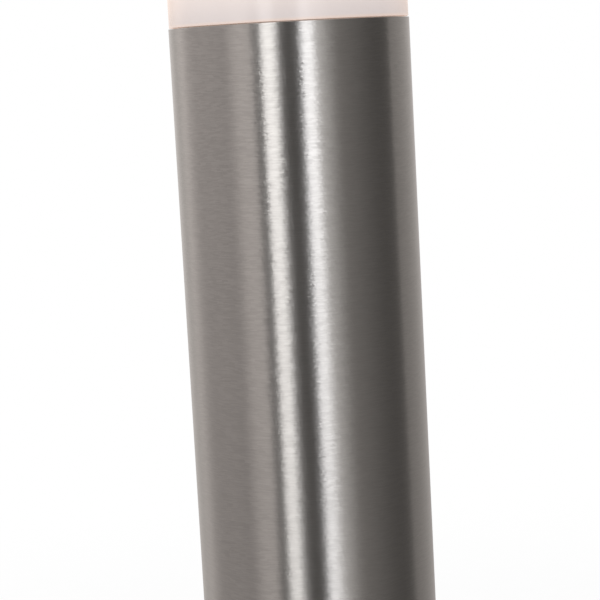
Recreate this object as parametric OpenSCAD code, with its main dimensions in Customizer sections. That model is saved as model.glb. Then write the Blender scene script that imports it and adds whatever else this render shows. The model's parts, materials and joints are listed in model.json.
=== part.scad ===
// Bollard light: a stainless steel post with an opal head, an E27 lamp and its wiring.
// Millimetres. +Z is up, the origin is the centre of the base plate's underside, and the front faces -Y.

/* [Overall] */
// Height from the ground to the top of the cap
total_h = 800; // [700:10:1000]
// Outer diameter of the post, a standard tube size
tube_d = 76; // [76:0.5:78]
// Wall of the post tube
tube_wall = 1.5; // [1.2:0.1:1.5]

/* [Head] */
// Height of opal diffuser that shows between the post and the cap
diffuser_h = 125; // [120:1:150]
// Wall of the diffuser
diffuser_wall = 3; // [2.8:0.1:3]
// Height of the cap's skirt
cap_h = 36; // [30:1:50]
// Sheet thickness of the cap
cap_wall = 1.5; // [1.2:0.1:1.5]

/* [Base] */
// Diameter of the plate that is bolted to the ground
plate_d = 150; // [146:1:156]
// Thickness of that plate
plate_t = 6; // [6:0.5:8]
// Number of anchor holes
anchor_count = 4; // [3, 4, 6]
// Diameter of an anchor hole, for M8
anchor_hole_d = 9; // [9:0.5:10]
// Diameter of the circle through the anchor holes
anchor_pcd = 118; // [114:1:120]
// Diameter of the hole that the supply cable comes up through
cable_hole_d = 30; // [24:1:32]
// Height of the cast socket inside the post
socket_h = 60; // [56:1:70]
// Sheet thickness of the sliding cover
cover_wall = 1.2; // [1:0.1:1.5]

/* [Lamp] */
// Diameter of the lamp's globe
globe_d = 55; // [50:1:58]
// Length of the lamp from its tip to the top of the globe
lamp_len = 104; // [98:1:110]

/* [Hidden] */
$fn = 96;

// Heights of the main stack
gasket_t = 1;
joint_gap = 0.3;
seat_h = 4;
tube_z = plate_t + seat_h;
joint_z = total_h - cap_h - gasket_t - diffuser_h;
tube_top = joint_z - joint_gap;
cap_z = total_h - cap_h;
gasket_z = cap_z - gasket_t;

// Radii of the main stack
tube_r = tube_d / 2;
bore_r = tube_r - tube_wall;
opal_r = tube_r - 0.2;
opal_in = opal_r - diffuser_wall;
slip = 0.05;

// Screw shanks and tapped holes (radii), with 0.05 mm between them, and the extra radius of a free hole
m25_r = 1.25;
m3_r = 1.45;
m4_r = 1.95;
m5_r = 2.45;
m6_r = 2.95;
tapped = 0.05;
free = 0.25;

// Head collar, spigot and O-ring
collar_top = tube_top - 0.7;
collar_h = 29;
collar_z = collar_top - collar_h;
collar_in = bore_r - 3;
collar_screw_x = 29.5;
lip_t = 5;
lip_r = 25.5;
spigot_out = collar_in - slip;
spigot_in = 30.7;
spigot_z = collar_z + lip_t + 1;
spigot_top = joint_z + 16;
o_ring_r = 0.8;
o_ring_groove = 1.6;
o_ring_groove_w = 2.4;
o_ring_z = spigot_z + 8;
grub_r = 2;
grub_z = tube_top - 7.5;
grub_angles = [30, 150];

// Lamp, holder and bracket, all placed from the lamp's tip
lamp_z = joint_z - 38;
globe_r = globe_d / 2;
globe_z = lamp_z + lamp_len - globe_r;
globe_seat = 14;
globe_rim_r = sqrt(globe_r * globe_r - globe_seat * globe_seat);
lamp_body_wall = 1.6;
lamp_cap_root = 12.3;
holder_r = 21;
holder_z = lamp_z - 25;
holder_top = lamp_z + 27;
holder_well_z = lamp_z - 4;
web_t = 2;
web_z = holder_z - web_t;
strap_w = 16;
leg_r = 25;
nipple_r = 5;
nut_t = 4;
tab_front = 8;
tab_z = web_z - 38;
clamp_z = tab_z + 6;
clamp_h = 8;
clamp_screw_x = 8;
earth_x = 8;
earth_z = web_z - 8;

// Ground socket and its screws
socket_bore_r = 25;
socket_top = plate_t + socket_h;
foot_screw_r = 31;
bracket_screw_x = 8;
bracket_screw_y = 28;
foot_angles = [90, 210, 330];
tube_screw_z = plate_t + 14;
tube_screw_angles = [30, 150, 270];

// Sliding cover
cover_rim_r = plate_d / 2 + 2.6;
cover_rim_z = 0.3;
cover_shoulder_z = plate_t + 3.5;
neck_r = tube_r + 2.4;
neck_z = plate_t + 20;
neck_top = neck_z + 10;

// Terminal box
box_w = 44;
box_back = 17;
box_front = -13;
box_h = 70;
box_wall = 2;
box_z = socket_top + 18;
box_top = box_z + box_h;
seal_t = 1;
lid_t = 3;
post_w = 7;
back_screw_zs = [box_z + 12, box_top - 16];
lid_screw_in = 4.5;
block_z = box_z + 24;
block_h = 20;
block_d = 12;
pole_pitch = 10;
poles = [-1, 0, 1];
block_y = box_back - box_wall - block_d / 2;

// Wiring
lead_r = 3.2;
core_r = 1;
lead_end_y = tab_front - lead_r - 0.1;
lead_low_z = box_top - 6;
lead_high_z = tab_z + 19;

// Slack of the lead inside the post: X and Y, and the share of the way from the box up to the clamp
lead_slack = [
    [1, -2, 0.1],
    [4, -6, 0.2],
    [5, -10, 0.3],
    [1, -12, 0.4],
    [-5, -10, 0.5],
    [-6, -4, 0.6],
    [-3, 1, 0.7],
    [0, 4, 0.8]
];
lead_free_z = box_top + 24;
lead_route = concat(
    [[0, 0, lead_low_z], [0, 0, box_top + 10], [0, 0, lead_free_z]],
    [for (p = lead_slack) [p[0], p[1], lead_free_z + p[2] * (tab_z - lead_free_z)]],
    [[0, lead_end_y, tab_z - 12], [0, lead_end_y, lead_high_z]]
);

// Cable glands: bore of the seal, radius of the thread and size across the flats
supply_bore = 4.5;
supply_thread = 8;
supply_flats = 20;
lead_bore = lead_r + 0.05;
lead_thread = 6;
lead_flats = 15;

// ---- Shared shapes ----

// Points of an arc about [x, y], from angle a to angle b, in n steps
function arc(x, y, r, a, b, n = 6) = [for (i = [0:n]) let (turn = a + (b - a) * i / n)
    [x + r * cos(turn), y + r * sin(turn)]];

// One point of a Catmull-Rom curve between p1 and p2
function spline_point(p0, p1, p2, p3, t) =
    0.5 * (2 * p1 + (p2 - p0) * t + (2 * p0 - 5 * p1 + 4 * p2 - p3) * t * t
        + (3 * p1 - p0 - 3 * p2 + p3) * t * t * t);

// A smooth line through the route's points, with n steps between each two
function smooth_route(p, n) = let (last = len(p) - 1) concat(
    [for (i = [0:last - 1], s = [0:n - 1])
        spline_point(p[max(i - 1, 0)], p[i], p[i + 1], p[min(i + 2, last)], s / n)],
    [p[last]]
);

function unit(v) = v / norm(v);

// Corners of the ring number i around a route; side is a direction that the route never follows
function ring_points(p, i, r, sides, side) = let (
    ahead = unit(p[min(i + 1, len(p) - 1)] - p[max(i - 1, 0)]),
    u = unit(cross(side, ahead)),
    v = cross(ahead, u)
) [for (k = [0:sides - 1]) p[i] + r * (u * cos(360 * k / sides) + v * sin(360 * k / sides))];

// A round cable swept along a route
module cable(p, r, side, sides = 10) {
    rings = len(p);
    points = [for (i = [0:rings - 1]) each ring_points(p, i, r, sides, side)];
    walls = [for (i = [0:rings - 2], k = [0:sides - 1]) let (
        a = i * sides + k,
        b = i * sides + (k + 1) % sides
    ) each [[a, a + sides, b], [b, a + sides, b + sides]]];
    ends = [
        [for (k = [0:sides - 1]) k],
        [for (k = [0:sides - 1]) rings * sides - 1 - k]
    ];
    polyhedron(points, concat(walls, ends), convexity = 6);
}

module ring(r_out, r_in, h) {
    difference() {
        cylinder(r = r_out, h = h);
        translate([0, 0, -1])
            cylinder(r = r_in, h = h + 2);
    }
}

module hex(across_flats, h) {
    cylinder(r = across_flats / sqrt(3), h = h, $fn = 6);
}

// Repeats its children at each angle, turned to face outwards
module at_angles(angles) {
    for (a = angles)
        rotate([0, 0, a])
            children();
}

// A block with rounded upright edges, centred in X and Y
module rounded_block(x, y, h, r) {
    linear_extrude(height = h)
        rounded_rectangle(x, y, r);
}

module rounded_rectangle(x, y, r) {
    square([x - 2 * r, y], center = true);
    square([x, y - 2 * r], center = true);
    for (i = [-1, 1], j = [-1, 1])
        translate([i * (x / 2 - r), j * (y / 2 - r)])
            circle(r = r);
}

// A pan-head screw along +Z: head below z = 0, shank above it, with a cross recess in the head
module pan_screw(r, length, head_r, head_h) {
    difference() {
        union() {
            cylinder(r = r, h = length);
            translate([0, 0, -head_h * 0.6])
                cylinder(r = head_r, h = head_h * 0.6);
            translate([0, 0, -head_h])
                cylinder(r1 = head_r * 0.72, r2 = head_r, h = head_h * 0.4);
        }
        for (turn = [0, 90])
            rotate([0, 0, turn])
                translate([-head_r * 0.55, -head_r * 0.12, -head_h - 1])
                    cube([head_r * 1.1, head_r * 0.24, head_h * 0.55 + 1]);
    }
}

// Turns a +Z screw so that it points along +Y
module point_back() {
    rotate([-90, 0, 0])
        children();
}

// ---- Base ----

module base_plate() {
    color([0.62, 0.61, 0.59])
    difference() {
        rotate_extrude()
            polygon([
                [0, 0], [plate_d / 2 - 0.6, 0], [plate_d / 2, 0.6],
                [plate_d / 2, plate_t - 1], [plate_d / 2 - 1, plate_t], [0, plate_t]
            ]);
        translate([0, 0, -1])
            cylinder(d = cable_hole_d, h = plate_t + 2);
        at_angles([for (i = [0:anchor_count - 1]) 45 + i * 360 / anchor_count])
            translate([anchor_pcd / 2, 0, -1])
                cylinder(d = anchor_hole_d, h = plate_t + 2);
        at_angles(foot_angles)
            translate([foot_screw_r, 0, 0]) {
                translate([0, 0, -1])
                    cylinder(r = m5_r + free, h = plate_t + 2);
                translate([0, 0, -0.01])
                    cylinder(r1 = 5.4, r2 = m5_r + free, h = 2.9);
            }
    }
}

// Countersunk M5 screws that hold the socket to the plate from below
module socket_screws() {
    color([0.7, 0.7, 0.7])
    at_angles(foot_angles)
        translate([foot_screw_r, 0, 0.4])
            difference() {
                union() {
                    cylinder(r1 = 4.8, r2 = m5_r, h = 2.5);
                    cylinder(r = m5_r, h = plate_t + 13);
                }
                translate([0, 0, -1])
                    hex(3, 2.6);
            }
}

// Cast aluminium socket: a seat for the tube's end, a barrel inside the tube, and bosses for its screws
module post_socket() {
    color([0.72, 0.73, 0.74])
    difference() {
        union() {
            translate([0, 0, plate_t])
                cylinder(r = tube_r, h = seat_h);
            translate([0, 0, plate_t + seat_h])
                cylinder(r = bore_r - slip, h = socket_h - seat_h - 2);
            translate([0, 0, socket_top - 2])
                cylinder(r1 = bore_r - slip, r2 = bore_r - slip - 1.5, h = 2);
        }
        translate([0, 0, plate_t - 1])
            cylinder(r = socket_bore_r, h = socket_h + 2);
        at_angles(foot_angles)
            translate([foot_screw_r, 0, plate_t - 1])
                cylinder(r = m5_r + tapped, h = 16);
        at_angles(tube_screw_angles)
            translate([socket_bore_r - 2, 0, tube_screw_z])
                rotate([0, 90, 0])
                    cylinder(r = m6_r + tapped, h = 20);
        for (x = [-bracket_screw_x, bracket_screw_x])
            translate([x, bracket_screw_y, socket_top - 12])
                cylinder(r = m4_r + tapped, h = 14);
    }
}

// Button-head M6 screws through the tube into the socket
module tube_screws() {
    color([0.75, 0.75, 0.75])
    at_angles(tube_screw_angles)
        translate([0, 0, tube_screw_z])
            rotate([0, 90, 0])
                difference() {
                    union() {
                        translate([0, 0, socket_bore_r + 2])
                            cylinder(r = m6_r, h = tube_r - socket_bore_r - 1.5);
                        translate([0, 0, tube_r + 0.1])
                            cylinder(r = 5.2, h = 1.2);
                        translate([0, 0, tube_r + 1.3])
                            cylinder(r1 = 5.2, r2 = m6_r, h = 1.9);
                    }
                    translate([0, 0, tube_r + 1.4])
                        hex(4, 3);
                }
}

module post_tube() {
    color([0.62, 0.6, 0.58])
    difference() {
        translate([0, 0, tube_z])
            rotate_extrude()
                polygon([
                    [bore_r + 0.2, 0], [tube_r - 0.3, 0], [tube_r, 0.3],
                    [tube_r, tube_top - tube_z - 0.25], [tube_r - 0.25, tube_top - tube_z],
                    [bore_r + 0.2, tube_top - tube_z], [bore_r, tube_top - tube_z - 0.2], [bore_r, 0.2]
                ]);
        at_angles(tube_screw_angles)
            translate([bore_r - 4, 0, tube_screw_z])
                rotate([0, 90, 0])
                    cylinder(r = m6_r + free, h = 8);
        at_angles(grub_angles)
            translate([bore_r - 4, 0, grub_z])
                rotate([0, 90, 0])
                    cylinder(r = grub_r + free, h = 8);
    }
}

// Spun cover that hides the anchors and slides up the post
module base_cover() {
    r = cover_rim_r;
    t = cover_wall;
    color([0.66, 0.65, 0.63])
    rotate_extrude()
        polygon(concat(
            [[r - t, cover_rim_z], [r, cover_rim_z]],
            arc(r - 4, cover_shoulder_z, 4, 0, 62, 6),
            arc(neck_r + 4 + t, neck_z + 4, 4, 242, 180, 6),
            [[neck_r + t, neck_top], [neck_r, neck_top]],
            arc(neck_r + 4 + t, neck_z + 4, 4 + t, 180, 242, 6),
            arc(r - 4, cover_shoulder_z, 4 - t, 62, 0, 6)
        ));
}

// Rubber lip ring in the cover's neck, which hugs the post
module cover_seal() {
    inner = tube_r + slip;
    color([0.08, 0.08, 0.08])
    rotate_extrude()
        polygon(concat(
            [[inner, neck_z + 3], [neck_r, neck_z + 5], [neck_r, neck_top]],
            arc(neck_r + 0.6, neck_top + 0.9, 0.9, -90, 90, 6),
            arc(inner + 0.9, neck_top + 1.2, 0.9, 90, 180, 4)
        ));
}

// ---- Terminal box ----

// Galvanised strip that stands on the socket and carries the terminal box
module box_bracket() {
    strip_w = 28;
    color([0.7, 0.71, 0.7])
    difference() {
        union() {
            translate([-strip_w / 2, box_back, socket_top])
                cube([strip_w, 2, box_top - socket_top - 8]);
            translate([-strip_w / 2, box_back, socket_top])
                cube([strip_w, 14, 2]);
        }
        for (x = [-bracket_screw_x, bracket_screw_x])
            translate([x, bracket_screw_y, socket_top - 1])
                cylinder(r = m4_r + free, h = 4);
        for (z = back_screw_zs)
            translate([0, box_back - 1, z])
                point_back()
                    cylinder(r = m4_r + free, h = 4);
    }
}

// Two screws down into the socket, and two through the strip into the box's bosses
module box_bracket_screws() {
    color([0.75, 0.75, 0.75]) {
        for (x = [-bracket_screw_x, bracket_screw_x])
            translate([x, bracket_screw_y, socket_top + 2])
                rotate([180, 0, 0])
                    pan_screw(m4_r, 12, 3.6, 2.6);
        for (z = back_screw_zs)
            translate([0, box_back + 2, z])
                rotate([90, 0, 0])
                    pan_screw(m4_r, 6.5, 3.6, 2.6);
    }
}

module terminal_box() {
    depth = box_back - box_front;
    mid_y = (box_back + box_front) / 2;
    color([0.55, 0.57, 0.58])
    difference() {
        union() {
            difference() {
                translate([0, mid_y, box_z])
                    rounded_block(box_w, depth, box_h, 2);
                translate([-box_w / 2 + box_wall, box_front - 1, box_z + box_wall])
                    cube([box_w - 2 * box_wall, depth + 1 - box_wall, box_h - 2 * box_wall]);
            }
            for (i = [-1, 1], z = [box_z + 1, box_top - post_w - 1])
                translate([i * (box_w / 2 - post_w / 2 - 1) - post_w / 2, box_front, z])
                    cube([post_w, depth - 1, post_w]);
            for (z = back_screw_zs)
                translate([0, box_back - 6, z])
                    point_back()
                        cylinder(r = 4, h = 5);
        }
        for (i = [-1, 1], z = [box_z + lid_screw_in, box_top - lid_screw_in])
            translate([i * (box_w / 2 - lid_screw_in), box_front - 1, z])
                point_back()
                    cylinder(r = m3_r + tapped, h = 14);
        for (z = back_screw_zs)
            translate([0, box_back - 5, z])
                point_back()
                    cylinder(r = m4_r + tapped, h = 7);
        translate([0, 0, box_z - 1])
            cylinder(r = 8, h = 4);
        translate([0, 0, box_top - 3])
            cylinder(r = 6, h = 4);
    }
}

module box_frame(depth) {
    translate([0, 0, box_z + box_h / 2])
        rotate([90, 0, 0])
            linear_extrude(height = depth)
                difference() {
                    rounded_rectangle(box_w, box_h, 2);
                    children();
                }
}

module box_screw_places() {
    for (i = [-1, 1], z = [box_z + lid_screw_in, box_top - lid_screw_in])
        translate([i * (box_w / 2 - lid_screw_in), 0, z])
            children();
}

module terminal_box_seal() {
    color([0.12, 0.12, 0.12])
    difference() {
        translate([0, box_front, 0])
            box_frame(seal_t)
                square([box_w - 18, box_h - 18], center = true);
        box_screw_places()
            translate([0, box_front - 4, 0])
                point_back()
                    cylinder(r = m3_r + free, h = 6);
    }
}

module terminal_box_lid() {
    color([0.6, 0.62, 0.63])
    difference() {
        translate([0, box_front - seal_t, 0])
            box_frame(lid_t);
        box_screw_places()
            translate([0, box_front - 8, 0])
                point_back()
                    cylinder(r = m3_r + free, h = 10);
    }
}

module terminal_box_screws() {
    color([0.75, 0.75, 0.75])
    box_screw_places()
        translate([0, box_front - seal_t - lid_t, 0])
            point_back()
                pan_screw(m3_r, 14, 2.8, 2);
}

// Three-pole terminal block; each pole has a raised barrel that its brass insert slides into
module terminal_block() {
    color([0.9, 0.89, 0.85])
    difference() {
        union() {
            translate([-1.5 * pole_pitch, block_y - 2, block_z + 2])
                cube([3 * pole_pitch, block_d / 2 + 2, block_h - 4]);
            for (p = poles)
                translate([p * pole_pitch, block_y, block_z])
                    rounded_block(8, block_d, block_h, 1.5);
        }
        for (p = poles)
            translate([p * pole_pitch, block_y, block_z - 1]) {
                cylinder(r = 2.8, h = block_h + 2);
                for (z = [6, block_h - 4])
                    translate([0, -block_d, z])
                        point_back()
                            cylinder(r = 2.3, h = block_d);
            }
    }
}

module terminal_inserts() {
    color([0.8, 0.65, 0.35])
    for (p = poles)
        translate([p * pole_pitch, block_y, block_z + 1])
            difference() {
                cylinder(r = 2.8, h = block_h - 2);
                translate([0, 0, -1])
                    cylinder(r = 1.6, h = block_h);
                for (z = [4, block_h - 6])
                    translate([0, 0, z])
                        rotate([90, 0, 0])
                            cylinder(r = m3_r + tapped, h = 5);
            }
}

module terminal_screws() {
    color([0.78, 0.76, 0.7])
    for (p = poles, z = [block_z + 5, block_z + block_h - 5])
        translate([p * pole_pitch, block_y - 1.2, z])
            rotate([90, 0, 0])
                difference() {
                    union() {
                        cylinder(r = m3_r, h = 2.6);
                        translate([0, 0, 1.7])
                            cylinder(r = 2.2, h = 2.5);
                    }
                    translate([-3, -0.35, 3.2])
                        cube([6, 0.7, 2]);
                }
}

// ---- Cable glands: each is drawn with the box wall's outer face at z = 0 and its nut towards -Z ----

module gland_body(thread_r, flats, bore) {
    difference() {
        union() {
            translate([0, 0, -4])
                hex(flats, 4);
            cylinder(r = thread_r, h = 6.5);
            translate([0, 0, -12])
                cylinder(r = thread_r, h = 8);
            translate([0, 0, box_wall])
                hex(flats, 3.5);
        }
        translate([0, 0, -13])
            cylinder(r = bore + 1.5, h = 10);
        translate([0, 0, -4])
            cylinder(r = bore + 0.6, h = 12);
    }
}

module gland_seal(bore) {
    translate([0, 0, -14])
        difference() {
            cylinder(r = bore + 1.5, h = 10);
            translate([0, 0, -1])
                cylinder(r = bore, h = 12);
        }
}

module gland_nut(thread_r, flats, bore) {
    translate([0, 0, -12])
        difference() {
            union() {
                hex(flats, 7.5);
                translate([0, 0, -5])
                    cylinder(r1 = bore + 3, r2 = flats / 2 - 0.3, h = 5);
            }
            translate([0, 0, -2])
                cylinder(r = thread_r, h = 10);
            translate([0, 0, -6])
                cylinder(r = bore + 0.6, h = 5);
        }
}

module at_supply() {
    translate([0, 0, box_z])
        children();
}

module at_lead() {
    translate([0, 0, box_top])
        rotate([180, 0, 0])
            children();
}

module supply_gland_body() {
    color([0.3, 0.31, 0.32])
        at_supply()
            gland_body(supply_thread, supply_flats, supply_bore);
}

module supply_gland_seal() {
    color([0.1, 0.1, 0.1])
        at_supply()
            gland_seal(supply_bore);
}

module supply_gland_nut() {
    color([0.3, 0.31, 0.32])
        at_supply()
            gland_nut(supply_thread, supply_flats, supply_bore);
}

module lead_gland_body() {
    color([0.3, 0.31, 0.32])
        at_lead()
            gland_body(lead_thread, lead_flats, lead_bore);
}

module lead_gland_seal() {
    color([0.1, 0.1, 0.1])
        at_lead()
            gland_seal(lead_bore);
}

module lead_gland_nut() {
    color([0.3, 0.31, 0.32])
        at_lead()
            gland_nut(lead_thread, lead_flats, lead_bore);
}

// ---- Wiring ----

module lamp_lead() {
    color([0.15, 0.15, 0.16])
        cable(smooth_route(lead_route, 3), lead_r, [1, 0, 0], 12);
}

// From the lead's lower end into one pole of the terminal block
module box_core(pole) {
    cable(smooth_route([
        [pole * 1.9, pole == 0 ? 1.2 : -0.8, lead_low_z],
        [pole * 2.6, pole == 0 ? 1.8 : 0, lead_low_z - 6],
        [pole * 7, 5, lead_low_z - 13],
        [pole * pole_pitch, block_y - 0.6, lead_low_z - 19],
        [pole * pole_pitch, block_y, block_z + block_h + 1],
        [pole * pole_pitch, block_y, block_z + block_h - 8]
    ], 3), core_r, [1, 0, 0], 8);
}

// From the lead's upper end through the nipple to a terminal of the lamp holder
module holder_core(side) {
    cable(smooth_route([
        [side * 1.6, lead_end_y - 0.9, lead_high_z],
        [side * 1.6, 2.4, lead_high_z + 6],
        [side * 1.6, 0.3, web_z - 6],
        [side * 1.6, 0, web_z + 2],
        [side * 1.6, 0, holder_z + 7.5],
        [side * 2.6, 0, holder_z + 11],
        [side * 5, 0, holder_z + 12.4],
        [side * 9, 0, holder_z + 12.5]
    ], 3), core_r, [0, 1, 0], 8);
}

module live_core() {
    color([0.45, 0.26, 0.14]) {
        box_core(-1);
        holder_core(-1);
    }
}

module neutral_core() {
    color([0.12, 0.35, 0.75]) {
        box_core(1);
        holder_core(1);
    }
}

module earth_core() {
    color([0.35, 0.62, 0.15]) {
        box_core(0);
        cable(smooth_route([
            [0, lead_end_y + 1.7, lead_high_z],
            [-2, lead_end_y + 1.7, lead_high_z + 4],
            [-4, 6.2, lead_high_z + 8],
            [-3.6, 6.4, earth_z - 1.4],
            [-1, 6.4, earth_z],
            [1.6, 6.4, earth_z]
        ], 3), core_r, [0, 1, 0], 8);
    }
}

// ---- Lamp holder and its bracket ----

// Aluminium collar fixed in the top of the tube: seats the head and holds its grub screws
module head_collar() {
    color([0.75, 0.76, 0.77])
    difference() {
        translate([0, 0, collar_z])
            cylinder(r = bore_r, h = collar_h);
        translate([0, 0, collar_z + lip_t])
            cylinder(r = collar_in, h = collar_h);
        translate([0, 0, collar_z - 1])
            cylinder(r = lip_r, h = collar_h);
        at_angles(grub_angles)
            translate([collar_in - 2, 0, grub_z])
                rotate([0, 90, 0])
                    cylinder(r = grub_r, h = 8);
        for (i = [-1, 1])
            translate([i * collar_screw_x, 0, collar_z - 1])
                cylinder(r = m3_r + tapped, h = lip_t);
    }
}

module head_grub_screws() {
    color([0.35, 0.35, 0.36])
    at_angles(grub_angles)
        translate([collar_in, 0, grub_z])
            rotate([0, 90, 0])
                difference() {
                    cylinder(r = grub_r, h = tube_r - collar_in - 0.3);
                    translate([0, 0, tube_r - collar_in - 2.4])
                        hex(2, 3);
                }
}

// Strap that hangs from the collar, with a web for the holder and a tab for the lead's clamp
module holder_bracket() {
    leg_h = collar_z - web_z;
    color([0.7, 0.71, 0.7])
    difference() {
        union() {
            translate([-leg_r, -strap_w / 2, web_z])
                cube([2 * leg_r, strap_w, web_t]);
            for (i = [-1, 1])
                translate([i * (leg_r - 1) - 1, -strap_w / 2, web_z])
                    cube([2, strap_w, leg_h]);
            for (i = [-1, 1])
                translate([i * (leg_r + 4.25) - 5.25, -strap_w / 2, collar_z - web_t])
                    cube([10.5, strap_w, web_t]);
            translate([-12, tab_front, tab_z])
                cube([24, 2, web_z + web_t - tab_z]);
        }
        translate([0, 0, web_z - 1])
            cylinder(r = nipple_r + 0.1, h = web_t + 2);
        for (i = [-1, 1])
            translate([i * collar_screw_x, 0, collar_z - web_t - 1])
                cylinder(r = m3_r + free, h = web_t + 2);
        for (i = [-1, 1])
            translate([i * clamp_screw_x, tab_front - 1, clamp_z + clamp_h / 2])
                point_back()
                    cylinder(r = m25_r + tapped, h = 4);
        translate([earth_x, tab_front - 1, earth_z])
            point_back()
                cylinder(r = m4_r + tapped, h = 4);
    }
}

module holder_bracket_screws() {
    color([0.75, 0.75, 0.75])
    for (i = [-1, 1])
        translate([i * collar_screw_x, 0, collar_z - web_t])
            pan_screw(m3_r, 5.5, 2.8, 2);
}

// Saddle that presses the lead against the bracket's tab
module cord_clamp() {
    color([0.85, 0.85, 0.82])
    difference() {
        translate([-11.5, lead_end_y - lead_r - 2, clamp_z])
            cube([23, tab_front - lead_end_y + lead_r + 1.6, clamp_h]);
        translate([0, lead_end_y, clamp_z - 1])
            cylinder(r = lead_r + 0.1, h = 10);
        translate([-lead_r - 0.1, lead_end_y, clamp_z - 1])
            cube([2 * lead_r + 0.2, 10, 10]);
        for (i = [-1, 1])
            translate([i * clamp_screw_x, -5, clamp_z + clamp_h / 2])
                point_back()
                    cylinder(r = m25_r + free, h = 20);
    }
}

module cord_clamp_screws() {
    color([0.75, 0.75, 0.75])
    for (i = [-1, 1])
        translate([i * clamp_screw_x, lead_end_y - lead_r - 2, clamp_z + clamp_h / 2])
            point_back()
                pan_screw(m25_r, tab_front - lead_end_y + lead_r + 3.5, 2.6, 1.8);
}

// Ring terminal crimped on the earth core
module earth_lug() {
    color([0.75, 0.75, 0.72])
    translate([earth_x, tab_front, earth_z])
        difference() {
            union() {
                rotate([90, 0, 0])
                    cylinder(r = 3.8, h = 0.8);
                translate([-5, -0.8, -1.5])
                    cube([2, 0.8, 3]);
                translate([-7.2, -1.55, 0])
                    rotate([0, 90, 0])
                        cylinder(r = 1.5, h = 3.2);
            }
            translate([0, 1, 0])
                rotate([90, 0, 0])
                    cylinder(r = m4_r + free, h = 3);
            translate([-8, -1.6, 0])
                rotate([0, 90, 0])
                    cylinder(r = 1.05, h = 3.4);
        }
}

module earth_screw() {
    color([0.2, 0.55, 0.25])
    translate([earth_x, tab_front - 0.8, earth_z])
        point_back()
            pan_screw(m4_r, 6, 3.6, 2.4);
}

module holder_nipple() {
    color([0.8, 0.68, 0.4])
    translate([0, 0, web_z - nut_t - 1])
        ring(nipple_r, 3.5, nut_t + web_t + 9);
}

module holder_locknut() {
    color([0.8, 0.68, 0.4])
    translate([0, 0, web_z - nut_t])
        difference() {
            hex(14, nut_t);
            translate([0, 0, -1])
                cylinder(r = nipple_r, h = nut_t + 2);
        }
}

// Porcelain body: a well for the lamp above, a wiring chamber below, and a threaded entry for the nipple
module lampholder_body() {
    chamber_z = holder_z + 8;
    color([0.93, 0.93, 0.9])
    difference() {
        translate([0, 0, holder_z])
            rotate_extrude()
                polygon(concat(
                    [[0, 0], [holder_r - 3, 0]],
                    arc(holder_r - 2, 2, 2, -60, 0, 4),
                    [[holder_r, 30], [holder_r - 1, 31], [holder_r - 1, 33], [holder_r, 34]],
                    arc(holder_r - 1.5, holder_top - holder_z - 1.5, 1.5, 0, 90, 5),
                    [[0, holder_top - holder_z]]
                ));
        translate([0, 0, holder_well_z])
            cylinder(r = 14.5, h = 60);
        translate([0, 0, holder_z - 1])
            cylinder(r = nipple_r, h = 12);
        translate([0, 0, chamber_z])
            cylinder(r = 15, h = 9);
    }
}

// Contact sleeve, drawn at its thread's major diameter so that the lamp's thread turns freely in it
module lampholder_shell() {
    color([0.82, 0.7, 0.42])
    translate([0, 0, holder_well_z])
        ring(14.3, 13.55, 23);
}

// Spring tongue under the lamp's centre contact
module lampholder_contact() {
    color([0.82, 0.7, 0.42])
    translate([0, 2.5, holder_well_z])
        rotate([90, 0, 0])
            linear_extrude(height = 5)
                polygon([
                    [9, 0], [9, 0.5], [-7.4, 0.5], [-0.6, 3.4], [3, 3.4], [3, 3.9],
                    [-0.8, 3.9], [-8.6, 0.6], [-9, 0]
                ]);
}

module lampholder_terminals() {
    color([0.82, 0.7, 0.42])
    for (i = [-1, 1])
        translate([i * 9.5, 0, holder_z + 12.5])
            difference() {
                translate([-3, -3.5, -3.5])
                    cube([6, 7, 7]);
                rotate([0, 90, 0])
                    cylinder(r = 1.3, h = 8, center = true);
                translate([0, -2, 0])
                    rotate([90, 0, 0])
                        cylinder(r = m25_r, h = 4);
            }
}

// ---- Lamp ----

module lamp_contact() {
    color([0.7, 0.7, 0.68])
    translate([0, 0, lamp_z])
        rotate_extrude()
            polygon(concat([[0, 0], [2.6, 0]], arc(3.6, 1, 1, -60, 0, 3), [[4.6, 1.6], [0, 1.6]]));
}

module lamp_insulator() {
    color([0.08, 0.07, 0.1])
    translate([0, 0, lamp_z + 1.6])
        cylinder(r1 = 5.6, r2 = 11, h = 3.4);
}

// Nickel-plated E27 cap; the thread is drawn as round ribs at its pitch
module lamp_screw_cap() {
    pitch = 3.629;
    turns = 5;
    crest = 13.1;
    root = lamp_cap_root;
    mean = (crest + root) / 2;
    swing = (crest - root) / 2;
    steps = 10;
    color([0.78, 0.77, 0.74])
    translate([0, 0, lamp_z + 5])
        rotate_extrude()
            polygon(concat(
                [[0, 0], [root - 1, 0]],
                [for (i = [0:turns * steps]) [mean - swing * cos(360 * i / steps), 1 + pitch * i / steps]],
                [[root, 20.2], [root - 0.5, 20.2], [root - 0.5, 1.4], [0, 1.4]]
            ));
}

// Heat-sink body, a shell that widens from the cap to the globe
module lamp_body() {
    foot = lamp_z + 24.2;
    foot_r = 13.4;
    straight = 4;
    grip = 1;
    rim_r = globe_rim_r + 0.3;
    height = globe_z - globe_seat - foot;
    steps = 8;
    flare = [for (i = [0:steps]) let (t = i / steps)
        [foot_r + (rim_r - foot_r) * (0.5 - 0.5 * cos(180 * t)), straight + (height - straight) * t]];
    color([0.92, 0.92, 0.91])
    translate([0, 0, foot])
        rotate_extrude()
            polygon(concat(
                [[lamp_cap_root, 0], [foot_r, 0]], flare,
                [for (i = [steps:-1:0]) [flare[i][0] - lamp_body_wall, flare[i][1]]],
                [[foot_r - lamp_body_wall, grip], [lamp_cap_root, grip]]
            ));
}

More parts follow.
